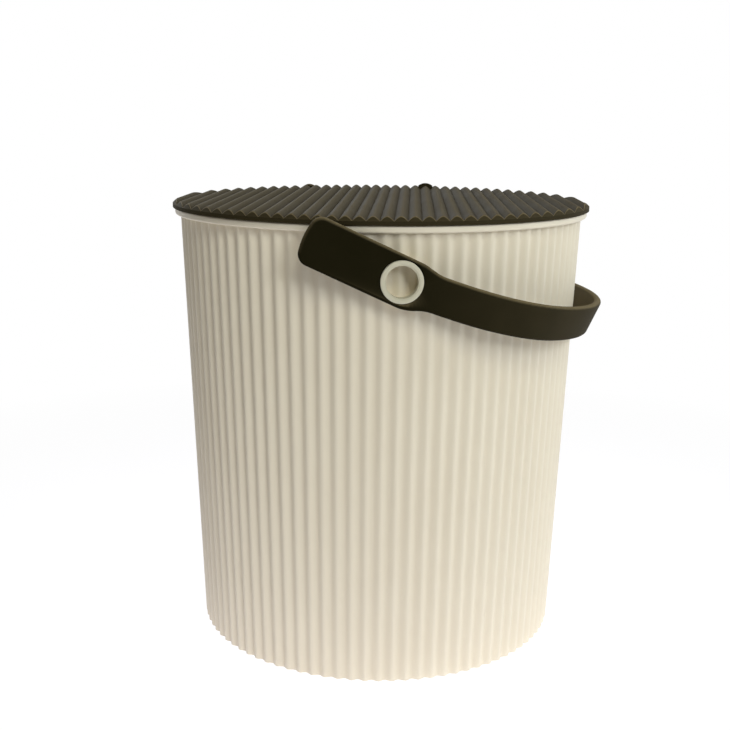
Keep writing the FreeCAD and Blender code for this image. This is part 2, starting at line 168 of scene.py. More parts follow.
class LidSizes(bpy.types.PropertyGroup):
    """Sizes of the lid"""

    radius: length("Radius", "Outside of the lid", -lid_low.x)
    turn: angle("Turn", "How far the ribs are turned from the pivot axis", -6.7)
    plate: length("Plate", "Thickness under the ribs", 0.0026)
    band: length("Band", "Height of the upright edge", 0.0024)
    bevel: length("Bevel", "Width of the sloping edge", 0.0028)
    rib_depth: length("Rib depth", "Height of a rib", 0.0026)
    rib_pitch: length("Rib pitch", "Distance from rib to rib", 0.00775)
    rib_land: length("Rib land", "Width of a rib's flat crest", 0.0004)
    rib_bow: number("Rib bow", "How round a rib is: 1 is a sharp roof, 2 is round", 1.5)
    rib_steps: count("Steps per flank", "Mesh columns up one side of a rib", 7)
    edge_soft: length("Edge softness", "How far the ribs' ends are softened", 0.0003)
    plug_wall: length("Plug wall", "Thickness of the plug ring", 0.002)
    plug_radius: length("Plug radius", "Outside of the plug ring's tip", 0.12719)
    plug_draft: length("Plug draft", "How much wider the plug is at its root", 0.0005)
    plug_round: length("Plug round", "Radius of the edges of the plug ring's tip", 0.0004)
    tab_ribs: count("Tab ribs", "Ribs from the middle to the lift tab", 4)
    tab_width: length("Tab width", "Width of the lift tab", 0.011)
    tab_length: length("Tab length", "Length of the lift tab", 0.005)
    tab_rise: length("Tab rise", "Height of the tab above the ribs", 0.002)
    tab_round: length("Tab round", "Radius of the tab's edges", 0.0004)


class RingSizes(bpy.types.PropertyGroup):
    """Sizes of the two pivot rings"""

    radius: length("Radius", "Outside of the flange", ring_high.x)
    bore: length("Bore", "Radius of the hole", 0.0092)
    flange: length("Flange", "Thickness of the flange", 0.002)
    spigot_radius: length("Spigot radius", "Outside of the spigot in the pivot", 0.01015)
    edge_round: length("Edge round", "Radius of the flange's front edge", 0.0006)
    soft_round: length("Soft round", "Radius of the smaller edges", 0.0002)
    lip: length("Lip", "Width of the step round the hole", 0.0007)
    step: length("Step", "Depth of the step round the hole", 0.0004)


class CreamFinish(bpy.types.PropertyGroup):
    """Colours and surface of the cream plastic"""

    shell_colour: colour("Shell colour", "Colour of the bucket", (0.72, 0.66, 0.525))
    # The rings' colour is the shell's cream made darker: painted shade on their flat faces
    ring_colour_with_painted_shade: colour("Ring colour", "Colour of the pivot rings", (0.54, 0.515, 0.395))
    # The shade colour is painted shade in the bottom of the flutes, and also the darker tone of the random
    # mottle
    painted_shade_and_mottle_colour: colour("Shade colour", "Colour in the bottom of the flutes", (0.63, 0.555, 0.42))
    flute_painted_shade: number("Flute shade", "How far the bottom of a flute takes the shade colour", 0.3)
    mottle_shade: number("Mottle shade", "How far the mottle takes the shade colour", 0.5)
    mottle_scale: number("Mottle scale", "Fineness of the mottle", 26.0)
    mottle_detail: number("Mottle detail", "Layers of noise in the mottle", 4.0)
    mottle_rough: number("Mottle roughness", "How far the mottle changes the roughness", 0.18)
    grain_scale: number("Grain scale", "Fineness of the moulded grain", 1900.0)
    grain_detail: number("Grain detail", "Layers of noise in the grain", 2.0)
    grain_rough: number("Grain roughness", "How far the grain changes the roughness", 0.1)
    grain_strength: number("Grain strength", "Strength of the grain's bump", 0.12)
    grain_height: length("Grain height", "Height of the grain's bump", 0.00005)
    roughness: number("Roughness", "Mean roughness", 0.4)
    specular: number("Specular", "Strength of the gloss", 0.28)


class DarkFinish(bpy.types.PropertyGroup):
    """Colours and surface of the dark plastic"""

    lid_colour: colour("Lid colour", "Colour of the lid", (0.029, 0.023, 0.010))
    handle_colour: colour("Handle colour", "Colour of the handle", (0.0074, 0.0061, 0.0011))
    # The lighter colour is the colour of the painted sheen, highlights and light, and also of the random
    # speckle
    painted_light_and_speckle_colour: colour("Worn colour", "Colour of what is rubbed lighter", (0.158, 0.126, 0.068))
    # Painted sheen on the lid's rib tops, lighter the more a face points up
    rib_painted_sheen: number("Rib wear", "How far the lid's ribs are rubbed on top", 0.38)
    rib_sheen_fade: number("Rib fade", "How fast that wear fades down a rib's side", 3.0)
    # Painted highlight along the ribs' ends where they meet the bevel, patchy by the mottle
    end_painted_highlight: number("End wear", "How far the ends of the ribs are rubbed at least", 0.9)
    end_highlight_patches: number("End patches", "How much more they are rubbed in patches", 0.4)
    # Painted highlight on the strap's upper edge, lighter the more it faces up
    strap_painted_highlight: number("Strap wear", "How far the strap's upper edge is rubbed", 1.2)
    strap_highlight_fade: number("Strap fade", "How fast that wear fades round the edge", 1.2)
    # Painted light on the handle, growing from the middle towards +X, the side where the lamps stand
    right_painted_light: number("Grip wear", "How far the bail is rubbed where hands hold it", 0.16)
    # Shares of the painted light that lie all over and that come in patches by the mottle
    painted_light_least: number("Least wear", "Share of the wear that is there all over", 0.7)
    painted_light_patches: number("Wear patches", "Share of the wear that comes in patches", 0.6)
    mottle_shade: number("Mottle shade", "How far the mottle takes the worn colour", 0.05)
    mottle_from: number("Mottle from", "Level from which the mottle takes the worn colour", 0.4)
    mottle_scale: number("Mottle scale", "Fineness of the mottle", 40.0)
    mottle_detail: number("Mottle detail", "Layers of noise in the mottle", 5.0)
    mottle_rough: number("Mottle roughness", "How far the mottle changes the roughness", 0.2)
    grain_scale: number("Grain scale", "Fineness of the moulded grain", 1500.0)
    grain_detail: number("Grain detail", "Layers of noise in the grain", 3.0)
    grain_rough: number("Grain roughness", "How far the grain changes the roughness", 0.12)
    grain_strength: number("Grain strength", "Strength of the grain's bump", 0.15)
    grain_height: length("Grain height", "Height of the grain's bump", 0.00006)
    roughness: number("Roughness", "Mean roughness", 0.7)
    specular: number("Specular", "Strength of the gloss", 0.04)


class StageSettings(bpy.types.PropertyGroup):
    """Camera, floor and lights"""

    eye: FloatVectorProperty(name="Eye", description="Place of the camera", subtype="TRANSLATION",
                             default=(-0.0651, -0.7442, 0.34486), unit="LENGTH")
    heading: angle("Heading", "Direction of view, clockwise from +Y", 4.274)
    pitch: angle("Pitch", "How far the camera looks down", 12.903)
    roll: angle("Roll", "How far the camera is tipped", 0.533)
    lens: number("Lens", "Focal length in millimetres on a 36 mm sensor", 54.486)
    floor_size: length("Floor size", "Side of the square floor", 8.0)
    floor_colour: colour("Floor colour", "Colour of the floor", (0.86, 0.86, 0.86))
    floor_roughness: number("Floor roughness", "Roughness of the floor", 0.9)
    key_power: number("Key power", "Watts of the lamp above the camera", 3.2)
    front_power: number("Front power", "Watts of the lamp on the right of the camera", 5.5)
    side_power: number("Side power", "Watts of the wide lamp on the right", 9.4)
    rear_power: number("Rear power", "Watts of the wide lamp behind", 7.0)
    key_colour: colour("Key colour", "Colour of the lamp above the camera", (0.99, 0.985, 0.85))
    lamp_colour: colour("Lamp colour", "Colour of the other lamps", (0.905, 0.955, 1.0))
    sky_level: number("Sky level", "Strength of the even light", 0.08)
    glow_level: number("Glow level", "Strength of the lit floor round the bucket", 1.34)
    glow_reach: length("Glow reach", "Radius of the lit floor", 0.7)
    glow_colour: colour("Glow colour", "Colour of the lit floor's light", (0.91, 0.875, 1.0))
    sky_colour: colour("Sky colour", "Colour of the even light", (1.0, 0.84, 0.55))
    shadow_share: number("Shadow share", "How much of the floor's shadow shows", 0.12)
    shadow_edge: number("Shadow edge", "Share of the lit floor over which the shadow fades out", 0.5)


class Look(bpy.types.PropertyGroup):
    """Everything that can be changed"""

    shell: PointerProperty(type=ShellSizes)
    lid: PointerProperty(type=LidSizes)
    ring: PointerProperty(type=RingSizes)
    cream: PointerProperty(type=CreamFinish)
    dark: PointerProperty(type=DarkFinish)
    stage: PointerProperty(type=StageSettings)


# Node trees


class Wire:
    """A node's output that takes part in sums; each operator adds one Math node."""

    def __init__(self, graph, socket):
        self.graph = graph
        self.socket = socket

    def math(self, operation, *others):
        """This value and any others through one Math node."""
        return self.graph.node("ShaderNodeMath", {"operation": operation}, (self, *others))

    def __add__(self, other):
        return self.math("ADD", other)

    __radd__ = __add__

    def __sub__(self, other):
        return self.math("SUBTRACT", other)

    def __rsub__(self, other):
        return self.graph.node("ShaderNodeMath", {"operation": "SUBTRACT"}, (other, self))

    def __mul__(self, other):
        return self.math("MULTIPLY", other)

    def __truediv__(self, other):
        return self.math("DIVIDE", other)

    def __rtruediv__(self, other):
        return self.graph.node("ShaderNodeMath", {"operation": "DIVIDE"}, (other, self))

    def __pow__(self, other):
        return self.math("POWER", other)


class Graph:
    """A node tree and the one way to add a node to it."""

    def __init__(self, tree):
        self.tree = tree

    def node(self, kind, settings=None, sockets=(), output=0):
        """Add a node: its settings first, then its sockets by name or place."""
        made = self.tree.nodes.new(kind)
        for name, value in (settings or {}).items():
            setattr(made, name, value)
        pairs = sockets.items() if isinstance(sockets, dict) else enumerate(sockets)
        for name, value in pairs:
            self.feed(made.inputs[name], value)
        return Wire(self, made.outputs[output])

    def feed(self, socket, value):
        """Link a wire to a socket, or set the socket to a plain value."""
        if isinstance(value, Wire):
            self.tree.links.new(value.socket, socket)
        else:
            socket.default_value = value


def new_geometry(name, inputs):
    """Geometry tree with named inputs; returns its graph and a wire for each input."""
    tree = bpy.data.node_groups.new(name, "GeometryNodeTree")
    for label, kind in inputs.items():
        tree.interface.new_socket(name=label, in_out="INPUT", socket_type=kind)
    tree.interface.new_socket(name="Geometry", in_out="OUTPUT", socket_type="NodeSocketGeometry")
    graph = Graph(tree)
    group = tree.nodes.new("NodeGroupInput")
    return graph, {label: Wire(graph, group.outputs[label]) for label in inputs}


def close_geometry(graph, geometry, weld, material):
    """Weld the seam, smooth, realize and give the material: the end of each tree."""
    welded = graph.node("GeometryNodeMergeByDistance", None, {"Geometry": geometry, "Distance": weld})
    smooth = graph.node("GeometryNodeSetShadeSmooth", None, {"Geometry": welded, "Shade Smooth": True})
    real = graph.node("GeometryNodeRealizeInstances", None, {"Geometry": smooth})
    painted = graph.node("GeometryNodeSetMaterial", None, {"Geometry": real, "Material": material})
    output = graph.tree.nodes.new("NodeGroupOutput")
    graph.feed(output.inputs["Geometry"], painted)


def grid_places(graph, rows, columns):
    """Grid of rows by columns, with each point's row and column."""
    grid = graph.node("GeometryNodeMeshGrid", None, {"Vertices X": rows, "Vertices Y": columns})
    index = graph.node("GeometryNodeInputIndex")
    row = ((index + HALF_STEP) / columns).math("FLOOR")
    return grid, row, index - row * columns


def sampled(graph, geometry, row, value, kind):
    """A value of the base mesh at the point numbered row."""
    return graph.node("GeometryNodeSampleIndex", {"data_type": kind, "domain": "POINT"},
                      {"Geometry": geometry, "Value": value, "Index": row})


def point_count(graph, geometry):
    """How many points a mesh has."""
    return graph.node("GeometryNodeAttributeDomainSize", None, {"Geometry": geometry}, "Point Count")


def split(graph, vector):
    """The three parts of a vector."""
    made = graph.node("ShaderNodeSeparateXYZ", None, (vector,))
    return [Wire(graph, socket) for socket in made.socket.node.outputs]


def joined(graph, x, y, z):
    """A vector from three parts."""
    return graph.node("ShaderNodeCombineXYZ", None, (x, y, z))


def marked(graph, geometry, name, value):
    """Keep a number on each point for the material."""
    return graph.node("GeometryNodeStoreNamedAttribute", {"data_type": "FLOAT", "domain": "POINT"},
                      {"Geometry": geometry, "Name": name, "Value": value})


def lathe_tree():
    """Turns a profile of points (radius, share of fluting, height) about Z, with flutes in a round wave."""
    graph, given = new_geometry("reeded_lathe", {
        "Geometry": "NodeSocketGeometry",
        "Flutes": "NodeSocketInt",
        "Steps per Flute": "NodeSocketInt",
        "Flute Depth": "NodeSocketFloat",
        "Weld": "NodeSocketFloat",
        "Material": "NodeSocketMaterial",
    })
    profile = given["Geometry"]
    columns = given["Flutes"] * given["Steps per Flute"] + 1
    grid, row, column = grid_places(graph, point_count(graph, profile), columns)
    position = graph.node("GeometryNodeInputPosition")
    crest, fluting, height = split(graph, sampled(graph, profile, row, position, "FLOAT_VECTOR"))

    share = column / given["Steps per Flute"]
    turn = (share * 2 - 1) * (math.pi / given["Flutes"])
    hollow = (1 - (share * math.tau).math("COSINE")) * 0.5 * fluting
    radius = crest - hollow * given["Flute Depth"]

    place = joined(graph, radius * turn.math("COSINE"), radius * turn.math("SINE"), height)
    shaped = graph.node("GeometryNodeSetPosition", None, {"Geometry": grid, "Position": place})
    # The depth in the flute is kept for the cream material's painted shade
    kept = marked(graph, shaped, "hollow", hollow)
    close_geometry(graph, kept, given["Weld"], given["Material"])
    return graph.tree


def lid_tree():
    """Ribbed plate with a bevelled edge, from rows of shares (across, down the bevel, down the band)."""
    graph, given = new_geometry("ribbed_plate", {
        "Geometry": "NodeSocketGeometry",
        "Radius": "NodeSocketFloat",
        "Plate": "NodeSocketFloat",
        "Band": "NodeSocketFloat",
        "Bevel": "NodeSocketFloat",
        "Rib Depth": "NodeSocketFloat",
        "Rib Pitch": "NodeSocketFloat",
        "Rib Land": "NodeSocketFloat",
        "Rib Bow": "NodeSocketFloat",
        "Steps per Flank": "NodeSocketInt",
        "Edge Softness": "NodeSocketFloat",
        "Weld": "NodeSocketFloat",
        "Material": "NodeSocketMaterial",
    })
    rows = given["Geometry"]
    radius, pitch, land, depth = (given[name] for name in ("Radius", "Rib Pitch", "Rib Land", "Rib Depth"))
    flank = given["Steps per Flank"]
    ribs_aside = (radius / pitch).math("CEIL")
    per_rib = flank * 2 + 2
    columns = (ribs_aside * 2 + 1) * per_rib
    grid, row, column = grid_places(graph, point_count(graph, rows), columns)
    position = graph.node("GeometryNodeInputPosition")
    across, bevel_share, band_share = split(graph, sampled(graph, rows, row, position, "FLOAT_VECTOR"))

    rib = ((column + HALF_STEP) / per_rib).math("FLOOR")
    step = column - rib * per_rib
    left = step.math("LESS_THAN", flank + HALF_STEP)
    climb = (flank - step) * left + (step - flank - 1) * (1 - left)
    share = climb / flank
    from_crest = land / 2 + (pitch - land) / 2 * share
    wanted = (rib - ribs_aside) * pitch + from_crest * (1 - left * 2)
    x = wanted.math("MINIMUM", radius).math("MAXIMUM", radius * -1)
    crest_height = given["Plate"] + depth
    rib_height = crest_height - share ** given["Rib Bow"] * depth

    bevel_height = crest_height - given["Band"]
    slope = bevel_height / given["Bevel"]
    meeting = radius - (rib_height - given["Band"]) / slope
    soft = given["Edge Softness"]
    on_bevel = bevel_share.math("GREATER_THAN", 0)
    on_top = 1 - on_bevel
    reach = (meeting - soft) * on_top + (meeting + soft + (radius - meeting - soft) * bevel_share) * on_bevel
    side = across * (reach * reach - x * x).math("MAXIMUM", 0).math("SQRT")
    out = (x * x + side * side).math("SQRT")
    cone = given["Band"] + (radius - out) * slope
    top = rib_height.math("MINIMUM", cone)
    z = top * (1 - band_share)

    shaped = graph.node("GeometryNodeSetPosition", None,
                        {"Geometry": grid, "Position": joined(graph, x, side, z)})
    # Each row's painted highlight is carried to every point of the row
    edge = graph.node("GeometryNodeInputNamedAttribute", {"data_type": "FLOAT"}, {"Name": "painted_highlight"})
    kept = marked(graph, shaped, "painted_highlight", sampled(graph, rows, row, edge, "FLOAT"))
    close_geometry(graph, kept, given["Weld"], given["Material"])
    return graph.tree


def shaped_mesh(name, base, tree, values):
    """Run a geometry tree on a base mesh and return the plain mesh that comes out."""
    holder = bpy.data.objects.new(name, base)
    bpy.context.collection.objects.link(holder)
    modifier = holder.modifiers.new(tree.name, "NODES")
    modifier.node_group = tree
    for item in tree.interface.items_tree:
        if item.in_out == "INPUT" and item.name in values:
            modifier[item.identifier] = values[item.name]
    depsgraph = bpy.context.evaluated_depsgraph_get()
    mesh = bpy.data.meshes.new_from_object(holder.evaluated_get(depsgraph), depsgraph=depsgraph)
    bpy.data.objects.remove(holder)
    bpy.data.meshes.remove(base)
    if not mesh.polygons:
        raise RuntimeError(f"{tree.name} made no faces for {name}")
    return mesh


def points_mesh(name, points):
    """Mesh of bare points, for a tree to read."""
    mesh = bpy.data.meshes.new(name)
    mesh.from_pydata(points, [], [])
    return mesh


# Materials


def new_material(name):
    """Material with a Principled surface; returns it, its graph and the surface node."""
    material = bpy.data.materials.new(name)
    material.use_nodes = True
    surface = material.node_tree.nodes["Principled BSDF"]
    return material, Graph(material.node_tree), surface


def noise(graph, place, scale, detail):
    """Noise texture at a place on the piece."""
    return graph.node("ShaderNodeTexNoise", None, {"Vector": place, "Scale": scale, "Detail": detail})


def mark(graph, name):
    """A number that was kept on the mesh."""
    return graph.node("ShaderNodeAttribute", {"attribute_name": name}, (), "Fac")


def moulded_material(name, finish):
    """Moulded plastic with a fine grain, still without colour; returns its parts and its mottle."""
    material, graph, surface = new_material(name)
    place = graph.node("ShaderNodeTexCoord", None, (), "Object")
    mottle = noise(graph, place, finish.mottle_scale, finish.mottle_detail)
    grain = noise(graph, place, finish.grain_scale, finish.grain_detail)
    uneven = (mottle - NOISE_MIDDLE) * finish.mottle_rough + (grain - NOISE_MIDDLE) * finish.grain_rough
    graph.feed(surface.inputs["Roughness"], finish.roughness + uneven)
    bump = graph.node("ShaderNodeBump", None, {
        "Height": grain,
        "Strength": finish.grain_strength,
        "Distance": finish.grain_height,
    })
    graph.feed(surface.inputs["Normal"], bump)
    surface.inputs["Specular IOR Level"].default_value = finish.specular
    return material, graph, surface, mottle


def set_tint(graph, surface, shade, base, other):
    """Colour a surface from base to other by a shade that varies over it."""
    tint = graph.node("ShaderNodeMix", {"data_type": "RGBA", "clamp_factor": True},
                      {"Factor": shade, "A": (*base, 1), "B": (*other, 1)}, "Result")
    graph.feed(surface.inputs["Base Color"], tint)


def cream_material(name, base, finish):
    """Satin cream plastic with a faint mottle and painted shade in the bottom of the flutes."""
    material, graph, surface, mottle = moulded_material(name, finish)
    hollow = mark(graph, "hollow")
    # Painted shade, darker towards the bottom of each flute, plus the random mottle
    shade = hollow * hollow * finish.flute_painted_shade + (mottle - NOISE_MIDDLE) * finish.mottle_shade
    set_tint(graph, surface, shade, base, finish.painted_shade_and_mottle_colour)
    return material


def lid_material(name, finish):
    """Matt dark plastic with a painted sheen on top of the ribs, a painted highlight along their ends and a
    random speckle.
    """
    material, graph, surface, mottle = moulded_material(name, finish)
    # Painted sheen: the rib tops are lighter the more they face up, fading down the ribs' sides
    ribs = mark(graph, "upward") ** finish.rib_sheen_fade * finish.rib_painted_sheen
    painted_light = ribs * (finish.painted_light_least + mottle * finish.painted_light_patches)
    # Painted highlight along the ribs' ends, patchy by the mottle
    ends = mark(graph, "painted_highlight") * (finish.end_painted_highlight + mottle * finish.end_highlight_patches)
    speckle = (mottle - finish.mottle_from) * finish.mottle_shade
    set_tint(graph, surface, painted_light + ends + speckle, finish.lid_colour, finish.painted_light_and_speckle_colour)
    return material


def handle_material(name, finish):
    """Matt dark plastic with a painted highlight on the strap's upper edge, painted light growing towards +X
    and a random speckle.
    """
    material, graph, surface, mottle = moulded_material(name, finish)
    place = graph.node("ShaderNodeTexCoord", None, (), "Object")
    # Painted highlight: the strap's upper edge is lighter the more it faces up
    edge = mark(graph, "upward") ** finish.strap_highlight_fade * finish.strap_painted_highlight
    # Painted light: the handle grows lighter from the middle towards +X, where the lamps stand
    right_ramp = (split(graph, place)[0] / shell_high.x).math("MAXIMUM", 0) * finish.right_painted_light
    painted_light = (edge + right_ramp) * (finish.painted_light_least + mottle * finish.painted_light_patches)
    speckle = (mottle - finish.mottle_from) * finish.mottle_shade
    set_tint(graph, surface, painted_light + speckle, finish.handle_colour, finish.painted_light_and_speckle_colour)
    return material


def look_material(name):
    """One of the four materials, made when it is first needed."""
    made = bpy.data.materials.get(name)
    if made is not None:
        return made
    look = bpy.context.scene.bucket_look
    if name == "lid_look":
        return lid_material(name, look.dark)
    if name == "handle_look":
        return handle_material(name, look.dark)
    # The rings take a darker copy of the cream, painted shade on their flat faces
    base = look.cream.ring_colour_with_painted_shade if name == "ring_painted_shade_look" else look.cream.shell_colour
    return cream_material(name, base, look.cream)


# Pieces


def rounded_profile(corners):
    """Points of a profile whose corners (radius, height, round, fluting) are rounded off."""
    points = []
    for index, (radius, height, round_off, fluting) in enumerate(corners):
        spot = Vector((radius, height))
        if round_off == 0:
            points.append((radius, fluting, height))
            continue
        before = (Vector(corners[index - 1][:2]) - spot).normalized()
        after = (Vector(corners[index + 1][:2]) - spot).normalized()
        half = before.angle(after) / 2
        start = spot + before * (round_off / math.tan(half))
        end = spot + after * (round_off / math.tan(half))
        centre = spot + (before + after).normalized() * (round_off / math.sin(half))
        first = start - centre
        sweep = first.angle_signed(end - centre)
        for step in range(CORNER_STEPS + 1):
            spoke = first.copy()
            spoke.rotate(Matrix.Rotation(-sweep * step / CORNER_STEPS, 2))
            points.append((centre.x + spoke.x, fluting, centre.y + spoke.y))
    return points


def lathe(name, corners, material, flutes=None):
    """Mesh turned from a profile that runs up its inside; flutes is the ShellSizes group, if fluted."""
    values = {
        "Flutes": flutes.flutes if flutes else PLAIN_PARTS,
        "Steps per Flute": flutes.flute_steps if flutes else PLAIN_STEPS,
        "Flute Depth": flutes.flute_depth if flutes else 0.0,
        "Weld": SEAM_WELD,
        "Material": look_material(material),
    }
    tree = bpy.data.node_groups.get("reeded_lathe") or lathe_tree()
    return shaped_mesh(name, points_mesh(name, rounded_profile(corners)), tree, values)


def merged_mesh(name, meshes, material):
    """One mesh from several, with no stray faces, one material and its sharp edges marked."""
    build = bmesh.new()
    for mesh in meshes:
        build.from_mesh(mesh)
    stray = [face for face in build.faces if all(len(edge.link_faces) == 1 for edge in face.edges)]
    bmesh.ops.delete(build, geom=stray, context="FACES")
    whole = meshes[0]
    build.to_mesh(whole)
    build.free()
    whole.name = name
    whole.materials.clear()
    whole.materials.append(look_material(material))
    whole.polygons.foreach_set("material_index", [0] * len(whole.polygons))
    whole.set_sharp_from_angle(angle=SHARP_ANGLE)
    for mesh in meshes[1:]:
        bpy.data.meshes.remove(mesh)
    return whole


def joined_piece(name, meshes, material):
    """One object at the origin from several meshes, with even normals and a mark for how far it faces up."""
    whole = merged_mesh(name, meshes, material)
    piece = bpy.data.objects.new(name, whole)
    bpy.context.collection.objects.link(piece)
    even = piece.modifiers.new("even_normals", "WEIGHTED_NORMAL")
    even.keep_sharp = True
    depsgraph = bpy.context.evaluated_depsgraph_get()
    piece.data = bpy.data.meshes.new_from_object(piece.evaluated_get(depsgraph), depsgraph=depsgraph)
    piece.modifiers.clear()
    bpy.data.meshes.remove(whole)
    piece.data.name = name
    # How far each corner faces up, from which the dark materials paint their sheen and highlights
    upward = piece.data.attributes.new("upward", "FLOAT", "CORNER")
    upward.data.foreach_set("value", [max(normal.vector.z, 0) for normal in piece.data.corner_normals])
    return piece


def on_pivot(mesh, side):
    """Turn a lathe mesh from the Z axis onto the pivot axis, towards the front (-1) or rear (1)."""
    mesh.transform(Matrix.Translation((0, 0, pivot_height)) @ Matrix.Rotation(-side * math.pi / 2, 4, "X"))
    return mesh


def lift_tab(size):
    """Mesh of the small domed tab at the lid's back edge, in the lid's own frame."""
    half = size.tab_width / 2
    shoulder = size.plate + size.rib_depth
    arc = (half * half + size.tab_rise * size.tab_rise) / (2 * size.tab_rise)
    lean = math.asin(half / arc)
    middle = size.tab_ribs * size.rib_pitch
    crest_radius = size.radius - size.bevel
    rear = math.sqrt(crest_radius ** 2 - (middle + half) ** 2)
    outline = [(middle + half, size.plate / 2), (middle - half, size.plate / 2)]
    for step in range(-TAB_STEPS, TAB_STEPS + 1):
        spread = lean * step / TAB_STEPS
        drop = arc * (1 - math.cos(spread))
        outline.append((middle + arc * math.sin(spread), shoulder + size.tab_rise - drop))
    build = bmesh.new()
    face = build.faces.new([build.verts.new((x, rear, z)) for x, z in outline])
    extruded = bmesh.ops.extrude_face_region(build, geom=[face])["geom"]
    moved = [item for item in extruded if isinstance(item, bmesh.types.BMVert)]
    bmesh.ops.translate(build, verts=moved, vec=(0, -size.tab_length, 0))
    bmesh.ops.recalc_face_normals(build, faces=build.faces)
    ends = [edge for edge in build.edges if abs(edge.verts[0].co.y - edge.verts[1].co.y) < TOUCHING]
    bmesh.ops.bevel(build, geom=ends, offset=size.tab_round, segments=TAB_BEVEL_STEPS,
                    profile=ROUND_BEVEL, affect="EDGES", clamp_overlap=True)
    mesh = bpy.data.meshes.new("lift_tab")
    for item in build.faces:
        item.smooth = True
    build.to_mesh(mesh)
    build.free()
    return mesh


class BUCKET_OT_shell(bpy.types.Operator):
    """Build the reeded shell with its rim, foot ring and hollow pivots"""

    bl_idname = "bucket.shell"
    bl_label = "Bucket shell"

    def execute(self, context):
        size = context.scene.bucket_look.shell
        rim_under = size.height - size.rim_height
        wall_top = size.rim_radius - size.rim_reach
        wall_base = wall_top - size.taper
        slope = size.taper / rim_under
        inset = size.wall + size.flute_depth
        mouth = wall_base - inset + slope * size.height
        floor_top = size.foot_height + size.floor
        inner_base = wall_base - inset + slope * floor_top
        foot_inner = wall_base - size.foot_width
        rows = [
            (wall_base + slope * height, height, 0, 1)
            for height in (rim_under * row / size.wall_rows for row in range(size.wall_rows - 1, 0, -1))
        ]
        corners = [
            (0, floor_top, 0, 0),
            (inner_base, floor_top, size.floor_round, 0),
            (mouth, size.height, size.mouth_round, 0),
            (size.rim_radius, size.height, size.rim_round, 0),
            (size.rim_radius, rim_under, size.rim_round, 0),
            (wall_top, rim_under, 0, 1),
            *rows,
            (wall_base, 0, size.foot_round, 1),
            (foot_inner, 0, size.foot_round, 0),
            (foot_inner, size.foot_height, size.foot_round, 0),
            (0, size.foot_height, 0, 0),
        ]
        meshes = [lathe("bucket_shell", corners, "cream_look", size)]
        bore = size.barrel_radius - size.barrel_wall
        root = wall_base + slope * (pivot_height - size.barrel_radius) - inset / 2
        soft = size.barrel_round
        pivot = [
            (bore, root, 0, 0),
            (bore, shell_high.y, soft, 0),
            (size.barrel_radius, shell_high.y, soft, 0),
            (size.barrel_radius, size.shoulder_end, soft, 0),
            (size.shoulder_radius, size.shoulder_end, soft, 0),
            (size.shoulder_radius, root, 0, 0),
        ]
        for side in (-1, 1):
            meshes.append(on_pivot(lathe("pivot", pivot, "cream_look"), side))
        piece = joined_piece("bucket_shell", meshes, "cream_look")
        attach(piece, "bucket")
        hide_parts("bucket_body")
        return {"FINISHED"}


class BUCKET_OT_lid(bpy.types.Operator):
    """Build the ribbed lid with its plug ring and lift tab"""

    bl_idname = "bucket.lid"
    bl_label = "Ribbed lid"

    def execute(self, context):
        size = context.scene.bucket_look.lid
        values = {
            "Radius": size.radius,
            "Plate": size.plate,
            "Band": size.band,
            "Bevel": size.bevel,
            "Rib Depth": size.rib_depth,
            "Rib Pitch": size.rib_pitch,
            "Rib Land": size.rib_land,
            "Rib Bow": size.rib_bow,
            "Steps per Flank": size.rib_steps,
            "Edge Softness": size.edge_soft,
            "Weld": SEAM_WELD,
            "Material": look_material("lid_look"),
        }
        far = [(-across, bevel, band, wear) for across, bevel, band, wear in LID_ROWS]
        around = [far[0], *LID_ROWS, *reversed(far)]
        rows = points_mesh("lid_rows", [row[:3] for row in around])
        # The rows that meet the bevel carry the painted highlight
        painted_highlight = rows.attributes.new("painted_highlight", "FLOAT", "POINT")
        painted_highlight.data.foreach_set("value", [row[3] for row in around])
        tree = bpy.data.node_groups.get("ribbed_plate") or lid_tree()
        meshes = [shaped_mesh("ribbed_lid", rows, tree, values)]
        plug_low = lid_low.z - shell_high.z
        plug = [
            (size.plug_radius + size.plug_draft, size.plate / 2, 0, 0),
            (size.plug_radius, plug_low, size.plug_round, 0),
            (size.plug_radius - size.plug_wall, plug_low, size.plug_round, 0),
            (size.plug_radius - size.plug_wall, size.plate / 2, 0, 0),
        ]
        meshes.append(lathe("plug_ring", plug, "lid_look"))
        meshes.append(lift_tab(size))
        seat = Matrix.Translation((0, 0, shell_high.z)) @ Matrix.Rotation(size.turn, 4, "Z")
        for mesh in meshes:
            mesh.transform(seat)
        piece = joined_piece("ribbed_lid", meshes, "lid_look")
        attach(piece, "lid")
        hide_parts("lid")
        return {"FINISHED"}


class BUCKET_OT_handle(bpy.types.Operator):
    """Build the strap handle from its frame solid, welded and smoothed"""

    bl_idname = "bucket.handle"
    bl_label = "Strap handle"

    def execute(self, context):
        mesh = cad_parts["handle"].data.copy()
        build = bmesh.new()
        build.from_mesh(mesh)
        bmesh.ops.remove_doubles(build, verts=build.verts, dist=TOUCHING)
        for face in build.faces:
            face.smooth = True
        build.to_mesh(mesh)
        build.free()
        piece = joined_piece("strap_handle", [mesh], "handle_look")
        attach(piece, "handle")
        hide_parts("handle")
        return {"FINISHED"}


